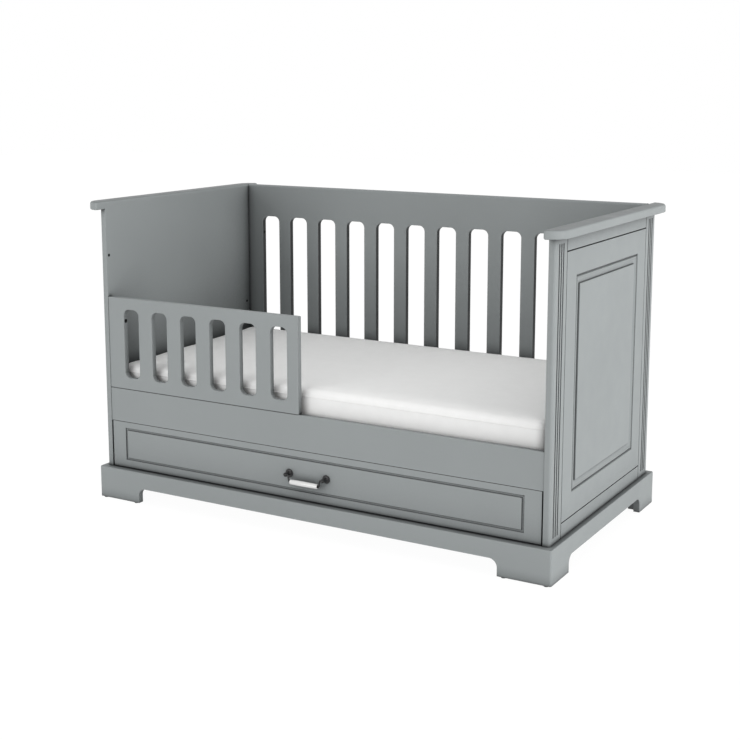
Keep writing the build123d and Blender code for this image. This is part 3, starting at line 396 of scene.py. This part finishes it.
finishes = {
    "lacquered_board": makeLacquer("grey_lacquer", "corner"),
    # hidden inner boards: grey primer, darkened as painted shade
    "inner_board": makeFoil("grey_primer_and_shade", boardLook["primerAndShade"], unstretched),
    "slat_wood": makePine("sanded_pine", (6, 1, 6)),
    "drawer_board": makeFoil("grey_foil", boardLook["foil"], (14, 1, 14)),
    "drawer_sheet": makeFoil("grey_hardboard", boardLook["sheet"], unstretched),
    "zinc_steel": makeMetal("zinc_plate", metalLook["zinc"]),
    "white_steel": makeMetal("white_powder_coat", metalLook["whiteSteel"]),
    "nylon": makePlastic("nylon", plasticLook["nylon"], 0.4),
    "glide_plastic": makePlastic("glide_plastic", plasticLook["glide"], 0.5),
    "dowel_wood": makePine("beech_dowel", (5, 5, 1), 0.95),
    "black_metal": makeMetal("matt_black", metalLook["black"]),
    "porcelain": makePorcelain(),
    "mattress_fabric": makeJersey(),
}
longRailPine = makePine("sanded_pine_lengthwise", (1, 6, 6))
brownedSteel = makeMetal("browned_steel", metalLook["browned"])
# lacquer copy with painted shade: the barrier darker overall and deep in the bed, its slot sides darkest
barrierShadedLacquer = makeLacquer("grey_lacquer_barrier_painted_shade", "barrierCorner", lacquerLook["slotSideShade"])
# lacquer copy with painted shade: its own corner shade and a darker top
plinthShadedLacquer = makeLacquer("grey_lacquer_plinth_painted_shade", "plinthCorner", lacquerLook["plinthTopShade"])
# lacquer copy with painted shade: darker tops of the caps
capShadedLacquer = makeLacquer("cap_lacquer_painted_shade", "corner", lacquerLook["capTopShade"])
ownFinishes = {               # pieces that differ from their slot's finish
    "base_front_rail": longRailPine,
    "base_back_rail": longRailPine,
    "threaded_inserts": brownedSteel,
    "barrier_bolts": brownedSteel,
    "back_barrier": barrierShadedLacquer,
    "head_cap": capShadedLacquer,
    "foot_cap": capShadedLacquer,
    "plinth_front": plinthShadedLacquer,
    "plinth_back": plinthShadedLacquer,
    "plinth_head_side": plinthShadedLacquer,
    "plinth_foot_side": plinthShadedLacquer,
}


# soft shading of the turned and rounded forms: the copies of corners are merged, sharp arrises stay sharp

smoothLook = {"mergeDistance": 0.000002, "angle": math.radians(32)}


def makeSmoother():
    group = bpy.data.node_groups.new("soft_rounds", "GeometryNodeTree")
    group.interface.new_socket("Geometry", in_out="INPUT", socket_type="NodeSocketGeometry")
    group.interface.new_socket("Geometry", in_out="OUTPUT", socket_type="NodeSocketGeometry")
    nodes, links = group.nodes, group.links
    start = nodes.new("NodeGroupInput")
    end = nodes.new("NodeGroupOutput")
    merge = nodes.new("GeometryNodeMergeByDistance")
    merge.inputs["Distance"].default_value = smoothLook["mergeDistance"]
    angle = nodes.new("GeometryNodeInputMeshEdgeAngle")
    compare = nodes.new("FunctionNodeCompare")
    compare.operation = "LESS_EQUAL"
    compare.inputs[1].default_value = smoothLook["angle"]
    byEdge = nodes.new("GeometryNodeSetShadeSmooth")
    byEdge.domain = "EDGE"
    byFace = nodes.new("GeometryNodeSetShadeSmooth")
    byFace.domain = "FACE"
    links.new(start.outputs[0], merge.inputs["Geometry"])
    links.new(angle.outputs["Unsigned Angle"], compare.inputs[0])
    links.new(merge.outputs["Geometry"], byEdge.inputs["Geometry"])
    links.new(compare.outputs["Result"], byEdge.inputs["Shade Smooth"])
    links.new(byEdge.outputs["Geometry"], byFace.inputs["Geometry"])
    links.new(byFace.outputs["Geometry"], end.inputs[0])
    return group


smoother = makeSmoother()
slotOf = {entry["node"]: entry["material_slot"] for entry in frame["record"]["subparts"]}
for name, piece in frame["nodes"].items():
    piece.data.materials.clear()
    piece.data.materials.append(ownFinishes.get(name, finishes[slotOf[name]]))
    rounding = piece.modifiers.new("soft rounds", "NODES")
    rounding.node_group = smoother
print("finishes on", len(frame["nodes"]), "pieces")


# mattress: the cover is blown up over its foam, then gets its seam cord

mattressMaking = {
    "voxel": 0.008,
    "inset": 0.0045,
    "pressure": 4.0,
    "frames": 20,
    "swell": 0.006,           # how far the cloth may move
    "quality": 4,
    "mass": 0.3,
    "tension": 18,
    "bending": 2.0,
    "backRound": 0.030,       # reach of the squarer top back edge
    "backSquare": 5.0,
    "backLift": 0.007,        # how much higher the top is at the back than at the front
    "sideRoom": 0.0005,       # kept free of the boards round it
    "slatRoom": 0.0002,
    "seamHeight": 0.024,      # seam cord below the top, on the side
    "seamRadius": 0.0016,
    "zipHeight": 0.030,       # zip above the bottom
    "zipRadius": 0.0035,
    "zipFlatness": 0.35,
    "ringCorner": 0.03,       # the path of seam and zip before it is laid on the cover
    "ringSpacing": 0.006,
    "ringLift": 0.0002,
    "cornerSteps": 12,
    "tubeSides": 8,
}


def copyOf(name, newName):
    source = frame["nodes"][name]
    mesh = source.data.copy()
    piece = bpy.data.objects.new(newName, mesh)
    bpy.context.scene.collection.objects.link(piece)
    return piece


def onlyActive(piece):
    bpy.ops.object.select_all(action="DESELECT")
    piece.select_set(True)
    bpy.context.view_layer.objects.active = piece


def readPoints(mesh):
    points = np.zeros(len(mesh.vertices) * 3)
    mesh.vertices.foreach_get("co", points)
    return points.reshape(-1, 3)


def writePoints(mesh, points):
    mesh.vertices.foreach_set("co", points.ravel())
    mesh.update()


def readNormals(mesh):
    normals = np.zeros(len(mesh.vertices) * 3)
    mesh.vertices.foreach_get("normal", normals)
    return normals.reshape(-1, 3)


low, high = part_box("mattress")
low, high = np.array(low), np.array(high)
mattress = copyOf("mattress", "mattress_cover")
onlyActive(mattress)
mattress.data.remesh_voxel_size = mattressMaking["voxel"]
bpy.ops.object.voxel_remesh()
points = readPoints(mattress.data)
points -= readNormals(mattress.data) * mattressMaking["inset"]
writePoints(mattress.data, points)
before = points.copy()
cloth = mattress.modifiers.new("cover", "CLOTH")
cloth.settings.use_pressure = True
cloth.settings.uniform_pressure_force = mattressMaking["pressure"]
cloth.settings.effector_weights.gravity = 0
cloth.settings.quality = mattressMaking["quality"]
cloth.settings.mass = mattressMaking["mass"]
cloth.settings.tension_stiffness = mattressMaking["tension"]
cloth.settings.bending_stiffness = mattressMaking["bending"]
cloth.collision_settings.use_collision = False
for step in range(1, mattressMaking["frames"] + 1):
    bpy.context.scene.frame_set(step)
graph = bpy.context.evaluated_depsgraph_get()
blown = readPoints(mattress.evaluated_get(graph).to_mesh()).copy()
mattress.modifiers.remove(cloth)
bpy.context.scene.frame_set(1)
move = blown - before
length = np.linalg.norm(move, axis=1, keepdims=True)
points = before + move * np.minimum(1.0, mattressMaking["swell"] / np.maximum(length, 1e-9))
backRound = mattressMaking["backRound"]
inward = np.maximum((points[:, 1] - high[1]) / backRound + 1, 0)
upward = np.maximum((points[:, 2] - high[2]) / backRound + 1, 0)
atEdge = (inward > 0) & (upward > 0)
power = mattressMaking["backSquare"]
fuller = np.hypot(inward, upward) / np.maximum((inward ** power + upward ** power) ** (1 / power), 1e-6)
points[atEdge, 1] += (inward * (fuller - 1) * backRound)[atEdge]
points[atEdge, 2] += (upward * (fuller - 1) * backRound)[atEdge]
towardBack = np.clip((points[:, 1] - low[1]) / (high[1] - low[1]), 0, 1)
towardTop = np.clip((points[:, 2] - low[2]) / (high[2] - low[2]), 0, 1)
points[:, 2] += mattressMaking["backLift"] * towardBack ** 2 * towardTop
for axis in (0, 1):
    points[:, axis] = np.clip(points[:, axis], low[axis] + mattressMaking["sideRoom"],
                              high[axis] - mattressMaking["sideRoom"])
points[:, 2] = np.maximum(points[:, 2], low[2] + mattressMaking["slatRoom"])
writePoints(mattress.data, points)
refine = mattress.modifiers.new("refine", "SUBSURF")
refine.levels = refine.render_levels = 1
onlyActive(mattress)
bpy.ops.object.modifier_apply(modifier="refine")
for polygon in mattress.data.polygons:
    polygon.use_smooth = True
print("mattress cover:", len(mattress.data.polygons), "faces")


def ringAround(height, cornerRadius, spacing):
    halfLength = (high[0] - low[0]) / 2
    halfWidth = (high[1] - low[1]) / 2
    ring = []
    for cornerX, cornerY, turn in ((1, -1, -90), (1, 1, 0), (-1, 1, 90), (-1, -1, 180)):
        middle = np.array((cornerX * (halfLength - cornerRadius), cornerY * (halfWidth - cornerRadius)))
        for step in range(mattressMaking["cornerSteps"] + 1):
            angle = math.radians(turn + 90 * step / mattressMaking["cornerSteps"])
            ring.append(middle + cornerRadius * np.array((math.cos(angle), math.sin(angle))))
    ring.append(ring[0])
    path = []
    for first, second in zip(ring, ring[1:]):
        count = max(1, round(float(np.linalg.norm(second - first)) / spacing))
        path += [first + (second - first) * step / count for step in range(count)]
    return [Vector((point[0], point[1], height)) for point in path]


def layOnSurface(path, tree, lift):
    laid = []
    for index, point in enumerate(path):
        along = path[(index + 1) % len(path)] - path[index - 1]
        outward = Vector((along.y, -along.x, 0)).normalized()
        hit = tree.ray_cast(point + outward * 0.05, -outward)[0]
        laid.append((hit if hit is not None else point) + outward * lift)
    return laid


def tubeAlong(name, path, radius, flatten):
    sides = mattressMaking["tubeSides"]
    mesh = bpy.data.meshes.new(name)
    form = bmesh.new()
    rings = []
    for index, point in enumerate(path):
        along = (path[(index + 1) % len(path)] - path[index - 1]).normalized()
        outward = Vector((along.y, -along.x, 0)).normalized()
        up = outward.cross(along)
        ring = []
        for side in range(sides):
            angle = 2 * math.pi * side / sides
            offset = outward * (radius * flatten * math.cos(angle)) + up * (radius * math.sin(angle))
            ring.append(form.verts.new(point + offset))
        rings.append(ring)
    for index, ring in enumerate(rings):
        following = rings[(index + 1) % len(rings)]
        for side in range(sides):
            other = (side + 1) % sides
            form.faces.new((ring[side], ring[other], following[other], following[side]))
    bmesh.ops.recalc_face_normals(form, faces=form.faces[:])
    form.to_mesh(mesh)
    form.free()
    for polygon in mesh.polygons:
        polygon.use_smooth = True
    piece = bpy.data.objects.new(name, mesh)
    bpy.context.scene.collection.objects.link(piece)
    return piece


jersey = finishes["mattress_fabric"]
mattress.data.materials.clear()
mattress.data.materials.append(jersey)
surface = BVHTree.FromObject(mattress, bpy.context.evaluated_depsgraph_get())
softPieces = [mattress]
for name, height, radius, flatten in (
        ("mattress_top_seam", high[2] - mattressMaking["seamHeight"], mattressMaking["seamRadius"], 1.0),
        ("mattress_zip", low[2] + mattressMaking["zipHeight"], mattressMaking["zipRadius"],
         mattressMaking["zipFlatness"])):
    ring = ringAround(height, mattressMaking["ringCorner"], mattressMaking["ringSpacing"])
    seam = tubeAlong(name, layOnSurface(ring, surface, mattressMaking["ringLift"]), radius, flatten)
    seam.data.materials.append(jersey)
    softPieces.append(seam)
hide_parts("mattress")
for piece in softPieces:
    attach(piece, "mattress")
print("mattress: cover, seam and zip")


# floor, lights and camera

studio = {
    "evenLight": 0.30,        # light from all round
    "zenithLight": 1.05,      # more from straight above
    "floorShow": 0.965,       # how white the floor is by itself
    "floorCatch": 0.06,       # how much light and shadow it shows
    "floorColour": (0.80, 0.80, 0.80, 1.0),
    "floorHalf": 14,
    "aim": (0, 0, 0.45),
    "sidePlace": (5.5, -0.7, 1.2),
    "sideSize": 2.6,
    "sidePower": 170.0,
    "frontPlace": (-1.5, -5.5, 1.4),
    "frontSize": 3.2,
    "frontPower": 114.0,
}


def pathFactor(tree):
    path = addNode(tree, "ShaderNodeLightPath")
    sharp = addNode(tree, "ShaderNodeMath", {0: path.outputs["Is Camera Ray"], 1: path.outputs["Is Glossy Ray"]},
                    operation="MAXIMUM")
    return addNode(tree, "ShaderNodeMath", {0: sharp.outputs[0], 1: path.outputs["Is Transmission Ray"]},
                   operation="MAXIMUM").outputs[0]


world = bpy.data.worlds.new("studio")
bpy.context.scene.world = world
world.use_nodes = True
worldTree = world.node_tree
worldTree.nodes.clear()
direction = addNode(worldTree, "ShaderNodeTexCoord")
height = addNode(worldTree, "ShaderNodeSeparateXYZ", {"Vector": direction.outputs["Generated"]}).outputs["Z"]
upper = addNode(worldTree, "ShaderNodeMath", {0: height, 1: 0.0}, operation="MAXIMUM")
steep = addNode(worldTree, "ShaderNodeMath", {0: upper.outputs[0], 1: 2.0}, operation="POWER")
skyLight = remap(worldTree, steep.outputs[0], 0.0, 1.0, studio["evenLight"],
                 studio["evenLight"] + studio["zenithLight"])
lightSky = addNode(worldTree, "ShaderNodeBackground", {"Color": (1, 1, 1, 1), "Strength": skyLight})
seenSky = addNode(worldTree, "ShaderNodeBackground", {"Color": (1, 1, 1, 1), "Strength": 1.0})
skyMix = addNode(worldTree, "ShaderNodeMixShader", {0: pathFactor(worldTree), 1: lightSky.outputs[0],
                                                    2: seenSky.outputs[0]})
addNode(worldTree, "ShaderNodeOutputWorld", {"Surface": skyMix.outputs[0]})

floorMesh = bpy.data.meshes.new("floor")
half = studio["floorHalf"]
floorMesh.from_pydata([(-half, -half, 0), (half, -half, 0), (half, half, 0), (-half, half, 0)], [], [(0, 1, 2, 3)])
floor = bpy.data.objects.new("floor", floorMesh)
bpy.context.scene.collection.objects.link(floor)
floorPaint = bpy.data.materials.new("pale_floor")
floorPaint.use_nodes = True
floorTree = floorPaint.node_tree
floorTree.nodes.clear()
bounce = addNode(floorTree, "ShaderNodeBsdfDiffuse", {"Color": studio["floorColour"]})
catch = addNode(floorTree, "ShaderNodeBsdfDiffuse", {"Color": (studio["floorCatch"],) * 3 + (1.0,)})
show = addNode(floorTree, "ShaderNodeEmission", {"Color": (1, 1, 1, 1), "Strength": studio["floorShow"]})
seen = addNode(floorTree, "ShaderNodeAddShader", {0: catch.outputs[0], 1: show.outputs[0]})
floorMix = addNode(floorTree, "ShaderNodeMixShader", {0: pathFactor(floorTree), 1: bounce.outputs[0],
                                                      2: seen.outputs[0]})
addNode(floorTree, "ShaderNodeOutputMaterial", {"Surface": floorMix.outputs[0]})
floorMesh.materials.append(floorPaint)


def softbox(name, place, size, power):
    lamp = bpy.data.lights.new(name, "AREA")
    lamp.shape = "SQUARE"
    lamp.size = size
    lamp.energy = power
    piece = bpy.data.objects.new(name, lamp)
    piece.location = place
    piece.rotation_euler = (Vector(studio["aim"]) - Vector(place)).to_track_quat("-Z", "Y").to_euler()
    bpy.context.scene.collection.objects.link(piece)


softbox("side", studio["sidePlace"], studio["sideSize"], studio["sidePower"])
softbox("front", studio["frontPlace"], studio["frontSize"], studio["frontPower"])

cameraMaking = {
    "place": (1.94581, -3.37155, 1.27159),
    "turn": math.radians(30.2),
    "tilt": math.radians(9.4),
    "lens": 64.72,
    "sensor": 36.0,
    "shift": -0.1,
}
lensData = bpy.data.cameras.new("camera")
lensData.lens = cameraMaking["lens"]
lensData.sensor_width = cameraMaking["sensor"]
lensData.shift_y = cameraMaking["shift"]
camera = bpy.data.objects.new("camera", lensData)
camera.location = cameraMaking["place"]
camera.rotation_euler = (math.radians(90) - cameraMaking["tilt"], 0, cameraMaking["turn"])
bpy.context.scene.collection.objects.link(camera)
bpy.context.scene.camera = camera
bpy.context.scene.view_settings.view_transform = "Standard"
print("studio ready")
